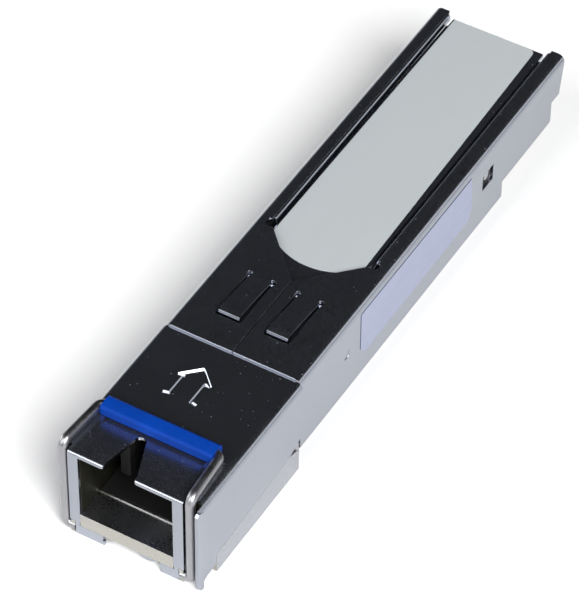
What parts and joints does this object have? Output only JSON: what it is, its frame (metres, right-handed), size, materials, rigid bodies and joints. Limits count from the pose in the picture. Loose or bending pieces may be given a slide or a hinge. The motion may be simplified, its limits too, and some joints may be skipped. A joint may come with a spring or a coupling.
{
  "type": "optical transceiver module",
  "caption": "Pluggable fibre optic transceiver: slim sheet metal body, wider head with one square fibre port, and a swinging wire bail with a coloured grip.",
  "frame": {"origin": "under the middle of the whole module, at the height of the underside of its head", "axes": "+Y from the fibre port to the edge connector, +Z from the latch side to the labelled top, +X to the right seen from the port"},
  "size_m": [0.014, 0.0646, 0.0111],
  "materials": {
    "nickel_sheet": "bright nickel plate",
    "cast_nickel": "nickel plated zinc casting, satin",
    "port_liner": "plated zinc casting, darker inside the port",
    "wire_steel": "bright drawn wire",
    "blue_plastic": "moulded, slightly glossy",
    "top_label_paper": "blank satin label",
    "side_label_paper": "blank satin label",
    "receptacle_plastic": "moulded, matt black",
    "ceramic_white": "ground zirconia",
    "optics_steel": "machined stainless steel",
    "gold_plate": "gold plated",
    "filter_glass": "coated glass",
    "board_green": "solder mask over glass fibre",
    "flex_amber": "polyimide film",
    "chip_black": "moulded package",
    "ceramic_parts": "chip parts with tinned ends",
    "pad_grey": "soft gap filler"
  },
  "bodies": {
    "root": {"outer_shell": "nickel_sheet", "top_plate": "nickel_sheet", "base_housing": "cast_nickel", "bottom_cover": "nickel_sheet", "head_cover": "nickel_sheet", "port_frame": "port_liner", "top_label": "top_label_paper", "side_label": "side_label_paper", "receptacle_insert": "receptacle_plastic", "sleeve_housing": "optics_steel", "split_sleeve": "ceramic_white", "fibre_stub": "ceramic_white", "weld_ring": "optics_steel", "optics_body": "optics_steel", "wavelength_filter": "filter_glass", "laser_can": "gold_plate", "laser_leads": "gold_plate", "receiver_can": "optics_steel", "receiver_leads": "gold_plate", "optics_clip": "nickel_sheet", "main_board": "board_green", "edge_contacts_top": "gold_plate", "edge_contacts_bottom": "gold_plate", "laser_flex": "flex_amber", "receiver_flex": "flex_amber", "laser_driver_chip": "chip_black", "receiver_amp_chip": "chip_black", "memory_chip": "chip_black", "controller_chip": "chip_black", "crystal": "optics_steel", "power_coils": "chip_black", "small_parts": "ceramic_parts", "thermal_pad": "pad_grey", "slider_spring": "wire_steel"},
    "bail": {"bail_wire": "wire_steel", "bail_sleeve": "blue_plastic"},
    "slider": {"release_slider": "nickel_sheet"}
  },
  "joints": [
    {"name": "bail_hinge", "type": "hinge", "parent": "root", "child": "bail", "pos_m": [-0.00035, -0.03152, 0.00062], "axis": [1, 0, 0], "range_deg": [0, 90]},
    {"name": "slider_slide", "type": "slide", "parent": "root", "child": "slider", "axis": [0, -1, 0], "range_m": [0, 0.0016], "deforming": ["slider_spring"]}
  ],
  "couplings": [
    {"joint": "bail_hinge", "follows": "slider_slide", "rad_per_m": 981.7}
  ]
}
